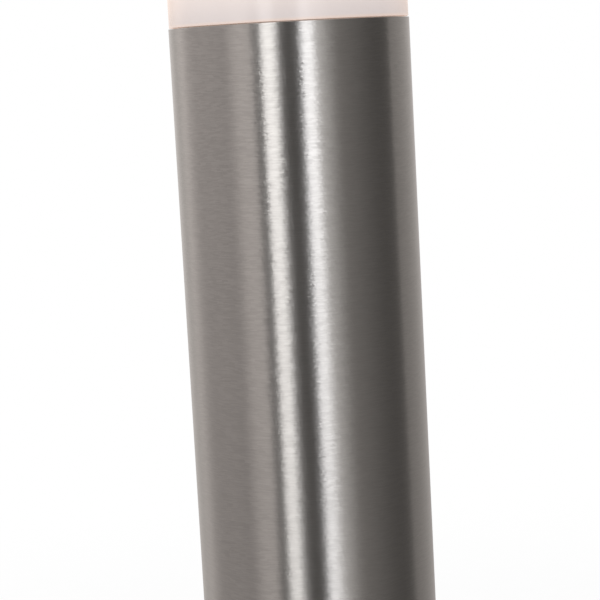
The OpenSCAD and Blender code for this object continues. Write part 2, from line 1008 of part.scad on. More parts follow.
module lamp_driver() {
    color([0.16, 0.42, 0.22]) {
        translate([-9, -0.8, lamp_z + 12])
            cube([18, 1.6, 26]);
        translate([-3.5, -5.8, lamp_z + 28])
            cube([7, 5, 8]);
        translate([0, 4.8, lamp_z + 17])
            cylinder(r = 4, h = 9);
    }
}

module lamp_led_board() {
    color([0.86, 0.86, 0.84])
    translate([0, 0, globe_z - globe_seat - 2])
        cylinder(r = globe_rim_r - lamp_body_wall, h = 1.4);
}

module lamp_leds() {
    color([0.95, 0.85, 0.45])
    at_angles([for (i = [0:9]) i * 36])
        translate([15, 0, globe_z - globe_seat - 0.2])
            cube([2.8, 3.5, 0.8], center = true);
}

module lamp_globe() {
    wall = 1.2;
    rim = asin(globe_seat / globe_r);
    color([0.97, 0.96, 0.94])
    translate([0, 0, globe_z])
        rotate_extrude()
            polygon(concat(
                arc(0, 0, globe_r, -rim, 90, 18),
                arc(0, 0, globe_r - wall, 90, -rim, 18)
            ));
}

// ---- Head ----

module diffuser() {
    edge = 0.35;
    color([0.9, 0.85, 0.82])
    translate([0, 0, joint_z])
        rotate_extrude()
            polygon([
                [opal_in, 0], [opal_r - edge, 0], [opal_r, edge],
                [opal_r, diffuser_h - edge], [opal_r - edge, diffuser_h], [opal_in, diffuser_h]
            ]);
}

// White ring bonded inside the diffuser; its lower half plugs into the collar
module head_spigot() {
    color([0.93, 0.92, 0.9])
    difference() {
        union() {
            translate([0, 0, spigot_z])
                cylinder(r = spigot_out, h = collar_top - spigot_z);
            translate([0, 0, collar_top])
                cylinder(r = opal_in, h = spigot_top - collar_top);
        }
        translate([0, 0, spigot_z - 1])
            cylinder(r = spigot_in, h = spigot_top - spigot_z + 2);
        translate([0, 0, o_ring_z - o_ring_groove_w / 2])
            ring(spigot_out + 1, spigot_out - o_ring_groove, o_ring_groove_w);
    }
}

module head_o_ring() {
    color([0.1, 0.1, 0.1])
    translate([0, 0, o_ring_z])
        rotate_extrude()
            translate([spigot_out - o_ring_r + 0.02, 0])
                circle(r = o_ring_r);
}

module diffuser_top_ring() {
    color([0.93, 0.92, 0.9])
    difference() {
        union() {
            translate([0, 0, gasket_z - 12])
                cylinder(r = opal_in, h = 12);
            translate([0, 0, gasket_z])
                cylinder(r = tube_r - cap_wall - 0.2, h = 5);
        }
        translate([0, 0, gasket_z - 13])
            cylinder(r = 28, h = 20);
    }
}

module cap_gasket() {
    color([0.12, 0.12, 0.12])
    translate([0, 0, gasket_z])
        ring(opal_r - 0.1, tube_r - cap_wall - 0.1, gasket_t);
}

module cap() {
    edge = 1.5;
    inner = tube_r - cap_wall;
    color([0.66, 0.65, 0.63])
    translate([0, 0, cap_z])
        rotate_extrude()
            polygon(concat(
                [[inner, 0], [tube_r - 0.2, 0], [tube_r, 0.2]],
                arc(tube_r - edge, cap_h - edge, edge, 0, 90, 6),
                [[0, cap_h], [0, cap_h - cap_wall], [inner, cap_h - cap_wall]]
            ));
}

stud_low = gasket_z - 22;

// M6 stud welded under the cap
module cap_stud() {
    color([0.72, 0.72, 0.72])
    translate([0, 0, stud_low]) {
        cylinder(r = 3, h = total_h - cap_wall - stud_low);
        translate([0, 0, total_h - cap_wall - stud_low - 1])
            cylinder(r = 4.5, h = 1);
    }
}

// White disc that clamps the top ring and throws the light down
module reflector() {
    disc_t = 1.5;
    color([0.95, 0.95, 0.94])
    translate([0, 0, gasket_z - 12 - disc_t])
        ring(opal_in - 0.6, 3.3, disc_t);
}

module cap_washer() {
    color([0.72, 0.72, 0.72])
    translate([0, 0, gasket_z - 14.5])
        ring(6.2, 3.2, 1);
}

module cap_nut() {
    color([0.72, 0.72, 0.72])
    translate([0, 0, gasket_z - 19.5])
        difference() {
            hex(10, 5);
            translate([0, 0, -1])
                cylinder(r = 3, h = 7);
        }
}

base_plate();
post_socket();
socket_screws();
post_tube();
tube_screws();
base_cover();
cover_seal();
box_bracket();
box_bracket_screws();
terminal_box();
terminal_box_seal();
terminal_box_lid();
terminal_box_screws();
terminal_block();
terminal_inserts();
terminal_screws();
supply_gland_body();
supply_gland_seal();
supply_gland_nut();
lead_gland_body();
lead_gland_seal();
lead_gland_nut();
lamp_lead();
live_core();
neutral_core();
earth_core();
head_collar();
head_grub_screws();
holder_bracket();
holder_bracket_screws();
cord_clamp();
cord_clamp_screws();
earth_lug();
earth_screw();
holder_nipple();
holder_locknut();
lampholder_body();
lampholder_shell();
lampholder_contact();
lampholder_terminals();
lamp_contact();
lamp_insulator();
lamp_screw_cap();
lamp_body();
lamp_driver();
lamp_led_board();
lamp_leds();
lamp_globe();
diffuser();
head_spigot();
head_o_ring();
diffuser_top_ring();
cap_gasket();
cap();
cap_stud();
reflector();
cap_washer();
cap_nut();
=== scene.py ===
"""Looks for the bollard light: finer turned pieces, procedural materials, studio light and camera.

Metres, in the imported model's own frame: +Z up, the front faces -Y, the ground is z = 0.
"""
import json
import math

import bmesh
import bpy
from mathutils import Euler, Matrix, Vector

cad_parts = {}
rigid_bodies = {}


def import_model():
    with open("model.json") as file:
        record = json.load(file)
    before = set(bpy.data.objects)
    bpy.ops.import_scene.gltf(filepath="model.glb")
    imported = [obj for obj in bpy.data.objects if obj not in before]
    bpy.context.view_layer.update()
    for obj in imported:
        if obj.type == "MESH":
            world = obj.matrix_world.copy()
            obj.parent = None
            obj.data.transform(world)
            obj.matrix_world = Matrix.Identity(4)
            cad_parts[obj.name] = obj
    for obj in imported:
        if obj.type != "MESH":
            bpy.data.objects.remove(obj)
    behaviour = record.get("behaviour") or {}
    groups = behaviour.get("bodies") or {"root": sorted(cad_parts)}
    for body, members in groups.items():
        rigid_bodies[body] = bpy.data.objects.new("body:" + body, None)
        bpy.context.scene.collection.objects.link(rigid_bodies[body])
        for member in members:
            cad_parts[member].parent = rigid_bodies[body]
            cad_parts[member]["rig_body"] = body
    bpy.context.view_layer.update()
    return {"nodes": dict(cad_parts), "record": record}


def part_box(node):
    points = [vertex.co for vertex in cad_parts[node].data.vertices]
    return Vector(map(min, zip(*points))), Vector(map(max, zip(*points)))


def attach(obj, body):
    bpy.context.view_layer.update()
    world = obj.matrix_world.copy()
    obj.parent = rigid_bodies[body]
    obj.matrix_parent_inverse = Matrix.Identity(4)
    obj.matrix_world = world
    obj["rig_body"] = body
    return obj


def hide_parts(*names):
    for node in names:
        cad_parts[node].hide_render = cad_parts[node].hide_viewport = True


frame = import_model()
NODES = frame["nodes"]
MM = 0.001
TURNED_SIDES = 192
UP = Vector((0, 0, 1))

# Screw shanks, the extra radius of a free hole, and a hexagon's corner radius over its flat radius
M6_R, M5_R, M3_R, GRUB_R, FREE = 2.95 * MM, 2.45 * MM, 1.45 * MM, 2 * MM, 0.25 * MM
HEX_CORNER = 2 / math.sqrt(3)

# ---------------------------------------------------------------- places, all read from the frame

TUBE_LOW, TUBE_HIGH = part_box("post_tube")
OPAL_LOW, OPAL_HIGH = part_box("diffuser")
CAP_LOW, CAP_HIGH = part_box("cap")
COVER_LOW, COVER_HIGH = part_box("base_cover")
SEAL_LOW, SEAL_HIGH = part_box("cover_seal")
GLOBE_LOW, GLOBE_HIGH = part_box("lamp_globe")
SCREW_CAP_LOW, SCREW_CAP_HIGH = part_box("lamp_screw_cap")
SEAL_RING_LOW, SEAL_RING_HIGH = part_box("head_o_ring")
MOUNT_SIZES = {mount["name"]: mount["dims"] for mount in frame["record"]["mounts"]}
JOINT_Z = OPAL_LOW.z
TUBE_WALL = TUBE_HIGH.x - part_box("head_collar")[1].x
OPAL_WALL = OPAL_HIGH.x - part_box("head_spigot")[1].x
CAP_WALL = 1.5 * MM


# ---------------------------------------------------------------- mesh tools

def arc(centre_r, centre_z, radius, start, end, steps=8):
    """Profile points (r, z) on an arc, with angles in degrees."""
    turns = [math.radians(start + (end - start) * i / steps) for i in range(steps + 1)]
    return [(centre_r + radius * math.cos(t), centre_z + radius * math.sin(t)) for t in turns]


def object_from(name, vertices, faces):
    mesh = bpy.data.meshes.new(name)
    mesh.from_pydata(vertices, [], faces)
    mesh.update()
    piece = bpy.data.objects.new(name, mesh)
    bpy.context.scene.collection.objects.link(piece)
    return piece


def smooth(piece, angle=32):
    """Smooth shading, with edges sharper than the angle kept crisp."""
    mesh = piece.data
    mesh.polygons.foreach_set("use_smooth", [True] * len(mesh.polygons))
    mesh.set_sharp_from_angle(angle=math.radians(angle))
    mesh.update()


def turned(name, profile, sides=TURNED_SIDES):
    """A solid turned about Z from a closed outline of (r, z) points, given anticlockwise.

    A thread's outline changes as it turns, so profile may also be a function of the turn, in radians.
    """
    turns = [2 * math.pi * k / sides for k in range(sides)]
    outlines = [profile(turn) if callable(profile) else profile for turn in turns]
    vertices, rings = [], []
    for i, (first_r, z) in enumerate(outlines[0]):
        if first_r < 1e-7:
            rings.append([len(vertices)] * sides)
            vertices.append((0.0, 0.0, z))
            continue
        rings.append(range(len(vertices), len(vertices) + sides))
        for turn, outline in zip(turns, outlines):
            r = outline[i][0]
            vertices.append((r * math.cos(turn), r * math.sin(turn), z))
    faces = []
    for i, low in enumerate(rings):
        high = rings[(i + 1) % len(rings)]
        for k in range(sides):
            n = (k + 1) % sides
            corners = []
            for v in (low[k], low[n], high[n], high[k]):
                if v not in corners:
                    corners.append(v)
            if len(corners) > 2:
                faces.append(corners)
    piece = object_from(name, vertices, faces)
    smooth(piece)
    return piece


def replace(piece, node):
    """The piece stands for a CAD node: the node is hidden and the piece rides on the same body."""
    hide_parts(node)
    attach(piece, NODES[node]["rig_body"])
    return piece


def islands(node):
    """Centre of each separate solid in a CAD node."""
    mesh = bmesh.new()
    mesh.from_mesh(NODES[node].data)
    bmesh.ops.remove_doubles(mesh, verts=mesh.verts, dist=0.001 * MM)
    seen, centres = set(), []
    for first in mesh.verts:
        if first in seen:
            continue
        group, waiting = [], [first]
        seen.add(first)
        while waiting:
            vertex = waiting.pop()
            group.append(vertex.co)
            for edge in vertex.link_edges:
                other = edge.other_vert(vertex)
                if other not in seen:
                    seen.add(other)
                    waiting.append(other)
        low = Vector([min(p[i] for p in group) for i in range(3)])
        high = Vector([max(p[i] for p in group) for i in range(3)])
        centres.append((low + high) / 2)
    mesh.free()
    return centres


def drill(piece, places, radius, depth, direction=None, far_radius=None, sides=48):
    """Cuts holes centred on the places, along a direction or else outwards from the Z axis.

    A far radius makes the holes conical, and six sides make them hexagonal.
    """
    for place in places:
        along = direction or Vector((place.x, place.y, 0)).normalized()
        bpy.ops.mesh.primitive_cone_add(
            vertices=sides, radius1=radius, radius2=far_radius or radius, depth=depth)
        cutter = bpy.context.object
        cutter.matrix_world = Matrix.Translation(place) @ along.to_track_quat("Z", "Y").to_matrix().to_4x4()
        cut = piece.modifiers.new("hole", "BOOLEAN")
        cut.operation = "DIFFERENCE"
        cut.solver = "EXACT"
        cut.object = cutter
        bpy.context.view_layer.objects.active = piece
        bpy.ops.object.modifier_apply(modifier=cut.name)
        bpy.data.objects.remove(cutter)
    smooth(piece)
    return piece


def merged(name, parts):
    """One object from several."""
    mesh = bmesh.new()
    for part in parts:
        mesh.from_mesh(part.data)
        bpy.data.objects.remove(part)
    piece = object_from(name, [], [])
    mesh.to_mesh(piece.data)
    mesh.free()
    return piece


def true_wall_normals(piece):
    """Gives upright round walls their exact normals, so that long thin faces beside a hole shade evenly."""
    mesh = piece.data
    smooth(piece)
    normals = [None] * len(mesh.loops)
    for face in mesh.polygons:
        radial = Vector((face.center.x, face.center.y, 0)).normalized()
        facing = face.normal.dot(radial)
        wall = abs(facing) > 0.999
        for loop in face.loop_indices:
            point = mesh.vertices[mesh.loops[loop].vertex_index].co
            if wall:
                normals[loop] = Vector((point.x, point.y, 0)).normalized() * math.copysign(1, facing)
            else:
                normals[loop] = Vector(mesh.corner_normals[loop].vector)
    mesh.normals_split_custom_set(normals)


# ---------------------------------------------------------------- material tools

SLOTS = {part["node"]: part["material_slot"] for part in frame["record"]["subparts"]}
COLOURS = {row["slot"]: tuple(row["base_color"][:3]) for row in frame["record"]["materials"]}


class Tree:
    """A node tree with short ways to add and join nodes. Arguments may be numbers, colours or sockets."""

    def __init__(self, tree):
        self.tree = tree
        tree.nodes.clear()

    def add(self, kind, **settings):
        node = self.tree.nodes.new(kind)
        for key, value in settings.items():
            setattr(node, key, value)
        return node

    def feed(self, socket, value):
        if isinstance(value, bpy.types.NodeSocket):
            self.tree.links.new(value, socket)
        elif isinstance(value, (tuple, list)) and socket.type == "RGBA" and len(value) == 3:
            socket.default_value = (*value, 1.0)
        else:
            socket.default_value = value

    def math(self, operation, *values, clamp=False):
        node = self.add("ShaderNodeMath", operation=operation, use_clamp=clamp)
        for socket, value in zip(node.inputs, values):
            self.feed(socket, value)
        return node.outputs[0]

    def vector(self, operation, *values, scale=None):
        node = self.add("ShaderNodeVectorMath", operation=operation)
        for socket, value in zip(node.inputs, values):
            self.feed(socket, value)
        if scale is not None:
            self.feed(node.inputs["Scale"], scale)
        return node.outputs["Value" if operation in ("LENGTH", "DOT_PRODUCT") else "Vector"]

    def split(self, vector):
        node = self.add("ShaderNodeSeparateXYZ")
        self.feed(node.inputs[0], vector)
        return node.outputs[0], node.outputs[1], node.outputs[2]

    def join(self, x, y, z):
        node = self.add("ShaderNodeCombineXYZ")
        for socket, value in zip(node.inputs, (x, y, z)):
            self.feed(socket, value)
        return node.outputs[0]

    def ease(self, value, low, high, start=0.0, end=1.0, shape="SMOOTHSTEP"):
        """Goes from start to end as value goes from low to high."""
        node = self.add("ShaderNodeMapRange", interpolation_type=shape)
        for socket, number in zip(node.inputs, (value, low, high, start, end)):
            self.feed(socket, number)
        return node.outputs[0]

    def mix(self, share, first, second):
        """A colour between two colours."""
        node = self.add("ShaderNodeMix", data_type="RGBA")
        self.feed(node.inputs[0], share)
        self.feed(node.inputs[6], first)
        self.feed(node.inputs[7], second)
        return node.outputs[2]

    def noise(self, point, scale=1.0, detail=2.0, roughness=0.5):
        node = self.add("ShaderNodeTexNoise")
        self.feed(node.inputs["Vector"], point)
        self.feed(node.inputs["Scale"], scale)
        self.feed(node.inputs["Detail"], detail)
        self.feed(node.inputs["Roughness"], roughness)
        return node.outputs[0]

    def cells(self, point, scale, output="Distance"):
        node = self.add("ShaderNodeTexVoronoi")
        self.feed(node.inputs["Vector"], point)
        self.feed(node.inputs["Scale"], scale)
        return node.outputs[output]

    def object_point(self):
        return self.add("ShaderNodeTexCoord").outputs["Object"]


class Looks(Tree):
    """A material with one Principled shader."""

    def __init__(self, name, **constants):
        self.material = bpy.data.materials.new(name)
        self.material.use_nodes = True
        super().__init__(self.material.node_tree)
        self.output = self.add("ShaderNodeOutputMaterial")
        self.shader = self.add("ShaderNodeBsdfPrincipled")
        self.tree.links.new(self.shader.outputs[0], self.output.inputs[0])
        for key, value in constants.items():
            self.put(key.replace("_", " "), value)

    def put(self, name, value):
        """Sets or links one of the shader's inputs."""
        sockets = {socket.name.lower(): socket for socket in self.shader.inputs}
        self.feed(sockets[name.lower()], value)

    def bump(self, height, strength=0.2, distance=0.1 * MM):
        node = self.add("ShaderNodeBump")
        self.feed(node.inputs["Strength"], strength)
        self.feed(node.inputs["Distance"], distance)
        self.feed(node.inputs["Height"], height)
        self.put("Normal", node.outputs[0])


def shade(colour, factor):
    return tuple(min(1.0, c * factor) for c in colour)


# ---------------------------------------------------------------- materials

# Length and pitch of the steel's three sets of hairlines
FINE_LINE, LONG_LINE, SHORT_LINE = (2.4 * MM, 0.28 * MM), (16 * MM, 0.4 * MM), (0.55 * MM, 0.17 * MM)
FINE_SHARE, LONG_SHARE = 0.35, 0.15
LINE_CONTRAST, LEAN_SIDEWAYS, LEAN_UP = 0.05, 0.026, 0.03
# Chosen for the renderer, not from the object: its noise filter smears a smoother metal's hairlines
POST_ROUGHNESS, SPUN_ROUGHNESS = 0.278, 0.29


def turned_steel(name, colour, roughness):
    """Stainless steel with short hairlines that run round the Z axis, on walls, flats and slopes."""
    m = Looks(name, metallic=1.0, anisotropic=1.0, anisotropic_rotation=0.25)
    point = m.object_point()
    x, y, z = m.split(point)
    radius = m.vector("LENGTH", m.join(x, y, 0.0))
    drift = m.math("MULTIPLY", m.noise(point, 35.0, 3.0), 4 * MM)
    across = m.math("ADD", m.math("ADD", z, radius), drift)
    along = m.math("MULTIPLY", m.math("ARCTAN2", y, x), TUBE_HIGH.x)

    def hairlines(length, pitch):
        """A random number for each hairline, from -1 to 1."""
        row = m.math("FLOOR", m.math("DIVIDE", across, pitch))
        shift = m.add("ShaderNodeTexWhiteNoise", noise_dimensions="1D")
        m.feed(shift.inputs["W"], row)
        start = m.math("MULTIPLY", shift.outputs["Value"], 40.0)
        step = m.math("ADD", m.math("DIVIDE", along, length), start)
        line = m.add("ShaderNodeTexWhiteNoise", noise_dimensions="2D")
        m.feed(line.inputs["Vector"], m.join(row, m.math("FLOOR", step), 0.0))
        return m.math("MULTIPLY", m.math("SUBTRACT", line.outputs["Value"], 0.5), 2.0)

    fine = hairlines(*FINE_LINE)
    grey = m.math("MULTIPLY", fine, FINE_SHARE)
    grey = m.math("ADD", grey, m.math("MULTIPLY", hairlines(*LONG_LINE), LONG_SHARE))
    grey = m.math("ADD", grey, 0.5)
    m.put("Base Color", m.mix(grey, shade(colour, 1 - LINE_CONTRAST), shade(colour, 1 + LINE_CONTRAST)))
    cloud = m.noise(point, 22.0)
    m.put("Roughness", m.ease(cloud, 0.3, 0.7, roughness, roughness + 0.02, "LINEAR"))
    # Each hairline leans a little sideways and up or down; the cube keeps most of the sideways leans small.
    around = m.vector("NORMALIZE", m.join(m.math("MULTIPLY", y, -1.0), x, 0.0))
    facing = m.add("ShaderNodeNewGeometry").outputs["Normal"]
    over = m.vector("CROSS_PRODUCT", facing, around)
    lean = m.math("MULTIPLY", m.math("POWER", hairlines(*SHORT_LINE), 3.0), LEAN_SIDEWAYS)
    leant = m.vector("ADD", facing, m.vector("SCALE", around, scale=lean))
    leant = m.vector("ADD", leant, m.vector("SCALE", over, scale=m.math("MULTIPLY", fine, LEAN_UP)))
    m.put("Normal", m.vector("NORMALIZE", leant))
    m.put("Tangent", m.add("ShaderNodeTangent", direction_type="RADIAL", axis="Z").outputs[0])
    return m.material


# Painted light of the opal tube, as emission colours: at its foot, a little above, beside the lamp and on the
# joint's line of light, and the factor for its edges. The dimmer foot is painted shade where the spigot
# blocks the lamp.
FOOT_GLOW, LOW_GLOW, LAMP_GLOW = (0.28, 0.225, 0.22), (0.38, 0.305, 0.285), (0.51, 0.41, 0.385)
JOINT_GLOW, EDGE_GLOW = (0.35, 0.235, 0.185), (1.02, 0.87, 0.72)


def opal(name, colour):
    """Opal tube that glows as if lit from inside. The glow is painted light, its own emission, not the lamp's
    light.
    """
    m = Looks(name, ior=1.6, specular_ior_level=1.0, subsurface_weight=0.1, subsurface_scale=1 * MM)
    m.shader.inputs["Subsurface Radius"].default_value = (1.0, 0.9, 0.8)
    point = m.object_point()
    z = m.split(point)[2]
    cloud = m.noise(point, 60.0, 2.0)
    m.put("Base Color", m.mix(cloud, shade(colour, 0.55), shade(colour, 0.58)))
    m.put("Roughness", m.ease(cloud, 0.3, 0.7, 0.16, 0.2))
    # Painted shade: the emission is dimmer at the foot, where the spigot blocks the lamp, and fades to half
    # towards the top
    rise = m.ease(z, JOINT_Z + 2 * MM, JOINT_Z + 40 * MM)
    fall = m.ease(z, OPAL_HIGH.z - 40 * MM, OPAL_HIGH.z, 1.0, 0.5)
    glow = m.mix(m.ease(z, JOINT_Z, JOINT_Z + 9 * MM), FOOT_GLOW, LOW_GLOW)
    glow = m.mix(rise, glow, LAMP_GLOW)
    # Painted light: the emission turns warmer where the tube is seen edge-on
    grazing = m.add("ShaderNodeLayerWeight")
    m.feed(grazing.inputs["Blend"], 0.5)
    edge = m.ease(grazing.outputs["Facing"], 0.3, 1.0)
    glow = m.mix(edge, glow, m.vector("MULTIPLY", glow, EDGE_GLOW))
    # Painted light: a warm line of emission just above the joint
    glow = m.mix(m.ease(z, JOINT_Z + 0.3 * MM, JOINT_Z + 1.1 * MM, 1.0, 0.0), glow, JOINT_GLOW)
    m.put("Emission Color", m.vector("SCALE", glow, scale=fall))
    m.put("Emission Strength", 1.0)
    m.bump(m.noise(point, 900.0, 2.0), 0.05, 0.02 * MM)
    return m.material


def galvanised(name, colour):
    m = Looks(name, metallic=1.0)
    point = m.object_point()
    spangle = m.cells(point, 260.0, "Color")
    tone = m.split(spangle)[0]
    dull = m.noise(point, 40.0, 3.0)
    m.put("Base Color", m.mix(tone, shade(colour, 0.82), shade(colour, 1.1)))
    m.put("Roughness", m.math("ADD", m.ease(tone, 0.0, 1.0, 0.34, 0.5), m.ease(dull, 0.3, 0.7, -0.05, 0.08)))
    m.bump(m.noise(point, 1500.0, 3.0), 0.12, 0.05 * MM)
    return m.material


def cast_aluminium(name, colour):
    m = Looks(name, metallic=1.0)
    point = m.object_point()
    grain = m.noise(point, 1800.0, 4.0, 0.65)
    patch = m.noise(point, 70.0, 2.0)
    m.put("Base Color", m.mix(grain, shade(colour, 0.85), shade(colour, 1.08)))
    m.put("Roughness", m.ease(patch, 0.3, 0.7, 0.42, 0.56))
    m.bump(grain, 0.35, 0.12 * MM)
    return m.material


def machined(name, colour, roughness=0.28, scale=700.0):
    """Bright turned or drawn metal: screws, brass, nickel."""
    m = Looks(name, metallic=1.0)
    point = m.object_point()
    tone = m.noise(point, scale, 3.0, 0.6)
    stain = m.noise(point, scale / 12, 2.0)
    m.put("Base Color", m.mix(m.ease(stain, 0.35, 0.7), shade(colour, 1.04), shade(colour, 0.86)))
    m.put("Roughness", m.math("ADD", m.ease(tone, 0.3, 0.7, roughness - 0.06, roughness + 0.06),
                              m.ease(stain, 0.4, 0.7, 0.0, 0.08)))
    m.bump(tone, 0.12, 0.03 * MM)
    return m.material


def moulded(name, colour, roughness=0.45, scale=1600.0, strength=0.2):
    """Moulded plastic or paint with a fine skin."""
    m = Looks(name, ior=1.5)
    point = m.object_point()
    skin = m.noise(point, scale, 3.0, 0.55)
    cloud = m.noise(point, 45.0, 2.0)
    m.put("Base Color", m.mix(m.ease(cloud, 0.3, 0.7), shade(colour, 0.95), shade(colour, 1.04)))
    m.put("Roughness", m.math("ADD", m.ease(skin, 0.3, 0.7, roughness - 0.05, roughness + 0.06),
                              m.ease(cloud, 0.3, 0.7, -0.03, 0.03)))
    m.bump(skin, strength, 0.04 * MM)
    return m.material


def rubber(name, colour):
    m = Looks(name, ior=1.45, sheen_weight=0.15, sheen_roughness=0.5)
    point = m.object_point()
    grain = m.noise(point, 2400.0, 4.0, 0.6)
    dust = m.noise(point, 90.0, 4.0, 0.6)
    m.put("Base Color", m.mix(m.ease(dust, 0.45, 0.8), colour, shade(colour, 2.2)))
    m.put("Roughness", m.ease(grain, 0.3, 0.7, 0.62, 0.82))
    m.bump(grain, 0.3, 0.05 * MM)
    return m.material


def porcelain(name, colour):
    m = Looks(name, ior=1.52, coat_weight=0.6, coat_roughness=0.06, coat_ior=1.5)
    point = m.object_point()
    speck = m.noise(point, 900.0, 2.0)
    pool = m.noise(point, 60.0, 2.0)
    m.put("Base Color", m.mix(m.ease(speck, 0.68, 0.74), colour, shade(colour, 0.72)))
    m.put("Roughness", m.ease(pool, 0.3, 0.7, 0.2, 0.34))
    m.bump(pool, 0.25, 0.2 * MM)
    return m.material


def frosted_lamp(name, colour, warm, strength):
    """A frosted globe or a phosphor chip that gives off light."""
    m = Looks(name, ior=1.48, roughness=0.4)
    point = m.object_point()
    frost = m.noise(point, 1200.0, 2.0)
    cloud = m.noise(point, 50.0, 2.0)
    m.put("Base Color", m.mix(cloud, shade(colour, 0.6), shade(colour, 0.64)))
    m.put("Roughness", m.ease(frost, 0.3, 0.7, 0.32, 0.46))
    m.put("Emission Color", m.mix(cloud, shade(warm, 0.94), warm))
    m.put("Emission Strength", strength)
    m.bump(frost, 0.1, 0.03 * MM)
    return m.material


def circuit_board(name, colour):
    m = Looks(name, ior=1.5, coat_weight=0.3, coat_roughness=0.2)
    point = m.object_point()
    tracks = m.add("ShaderNodeTexBrick", offset=0.5)
    m.feed(tracks.inputs["Vector"], m.join(m.split(point)[0], m.split(point)[2], 0.0))
    m.feed(tracks.inputs["Scale"], 140.0)
    m.feed(tracks.inputs["Mortar Size"], 0.05)
    m.put("Base Color", m.mix(tracks.outputs[1], colour, shade(colour, 1.8)))
    m.put("Roughness", m.ease(m.noise(point, 800.0), 0.3, 0.7, 0.3, 0.42))
    return m.material


def earth_sleeve(name, colour):
    """Green insulation with a yellow stripe along it."""
    m = Looks(name, ior=1.5)
    point = m.object_point()
    x, y, z = m.split(point)
    stripe = m.math("SINE", m.math("MULTIPLY", m.math("ADD", m.math("ADD", x, y), z), 2600.0))
    m.put("Base Color", m.mix(m.ease(stripe, 0.1, 0.3), colour, (0.75, 0.62, 0.05)))
    m.put("Roughness", m.ease(m.noise(point, 900.0), 0.3, 0.7, 0.38, 0.5))
    return m.material


def make_material(slot):
    colour = COLOURS[slot]
    if slot == "brushed_post":
        return turned_steel(slot, colour, POST_ROUGHNESS)
    if slot == "spun_steel":
        return turned_steel(slot, colour, SPUN_ROUGHNESS)
    if slot == "opal":
        return opal(slot, colour)
    if slot == "galvanised":
        return galvanised(slot, colour)
    if slot == "cast_aluminium":
        return cast_aluminium(slot, colour)
    if slot in ("fastener_steel", "brass", "nickel"):
        return machined(slot, colour)
    if slot == "black_rubber":
        return rubber(slot, colour)
    if slot == "porcelain":
        return porcelain(slot, colour)
    if slot == "globe_opal":
        return frosted_lamp(slot, colour, (1.0, 0.84, 0.66), 0.42)
    if slot == "led_chip":
        return frosted_lamp(slot, colour, (1.0, 0.8, 0.5), 1.5)
    if slot == "board_green":
        return circuit_board(slot, colour)
    if slot == "core_green":
        return earth_sleeve(slot, colour)
    if slot in ("white_plastic", "board_white", "insulator", "core_brown", "core_blue"):
        return moulded(slot, colour, 0.32, 900.0, 0.08)
    return moulded(slot, colour)


MATERIALS = {slot: make_material(slot) for slot in COLOURS}


def paint(piece, slot):
    piece.data.materials.clear()
    piece.data.materials.append(MATERIALS[slot])
    return piece


# ---------------------------------------------------------------- turned pieces that stand for CAD nodes

def shape(node, piece):
    return paint(replace(piece, node), SLOTS[node])


def post_tube():
    outer = TUBE_HIGH.x
    inner = outer - TUBE_WALL
    low, high = TUBE_LOW.z, TUBE_HIGH.z
    lip, burr = 0.12 * MM, 0.2 * MM
    piece = turned("tube_shell", [
        *arc(outer - lip, low + lip, lip, -90, 0, 4),
        *arc(outer - lip, high - lip, lip, 0, 90, 6),
        *arc(inner + burr, high - burr, burr, 90, 180, 4),
        *arc(inner + burr, low + burr, burr, 180, 270, 4),
    ])
    drill(piece, islands("head_grub_screws"), GRUB_R + FREE, 12 * MM)
    drill(piece, islands("tube_screws"), M6_R + FREE, 24 * MM)
    true_wall_normals(piece)
    return piece


def diffuser():
    outer = OPAL_HIGH.x
    inner = outer - OPAL_WALL
    lip = 0.15 * MM
    return turned("opal_tube", [
        (inner, OPAL_LOW.z),
        *arc(outer - lip, OPAL_LOW.z + lip, lip, -90, 0, 5),
        *arc(outer - lip, OPAL_HIGH.z - lip, lip, 0, 90, 5),
        (inner, OPAL_HIGH.z),
    ])


def cap():
    outer = CAP_HIGH.x
    inner = outer - CAP_WALL
    edge, rim = 1.5 * MM, 0.2 * MM
    return turned("spun_cap", [
        (inner, CAP_LOW.z),
        *arc(outer - rim, CAP_LOW.z + rim, rim, -90, 0, 3),
        *arc(outer - edge, CAP_HIGH.z - edge, edge, 0, 90, 10),
        (0.0, CAP_HIGH.z),
        (0.0, CAP_HIGH.z - CAP_WALL),
        *arc(inner - 0.5 * MM, CAP_HIGH.z - CAP_WALL - 0.5 * MM, 0.5 * MM, 90, 0, 4),
    ])


def base_cover():
    rim_r, wall = COVER_HIGH.x, 1.2 * MM
    neck_r = TUBE_HIGH.x + 2.4 * MM
    shoulder_z, shoulder = COVER_LOW.z + 9.2 * MM, 4 * MM
    neck_z, fillet = COVER_HIGH.z - 6 * MM, 4 * MM
    fillet_r = neck_r + fillet + wall
    slope = 62
    return turned("rosette", [
        (rim_r - wall, COVER_LOW.z),
        *arc(rim_r - 0.2 * MM, COVER_LOW.z + 0.2 * MM, 0.2 * MM, -90, 0, 3),
        *arc(rim_r - shoulder, shoulder_z, shoulder, 0, slope, 14),
        *arc(fillet_r, neck_z, fillet, 180 + slope, 180, 14),
        *arc(neck_r + wall - 0.2 * MM, COVER_HIGH.z - 0.2 * MM, 0.2 * MM, 0, 90, 3),
        (neck_r, COVER_HIGH.z),
        *arc(fillet_r, neck_z, fillet + wall, 180, 180 + slope, 14),
        *arc(rim_r - shoulder, shoulder_z, shoulder - wall, slope, 0, 14),
    ])


def cover_seal():
    inner, outer = TUBE_HIGH.x + 0.05 * MM, SEAL_HIGH.x
    neck = TUBE_HIGH.x + 2.4 * MM
    lip = SEAL_HIGH.z - SEAL_LOW.z
    return turned("grip_ring", [
        (inner + 0.2 * MM, SEAL_LOW.z),
        (neck, SEAL_LOW.z + 2 * MM),
        (neck, COVER_HIGH.z),
        *arc(outer - 0.9 * MM, SEAL_HIGH.z - 1.2 * MM, 0.9 * MM, -90, 90, 10),
        *arc(inner + 1.3 * MM, SEAL_HIGH.z - 1.3 * MM, 1.3 * MM, 90, 180, 8),
        (inner, SEAL_HIGH.z - 0.6 * lip),
    ])


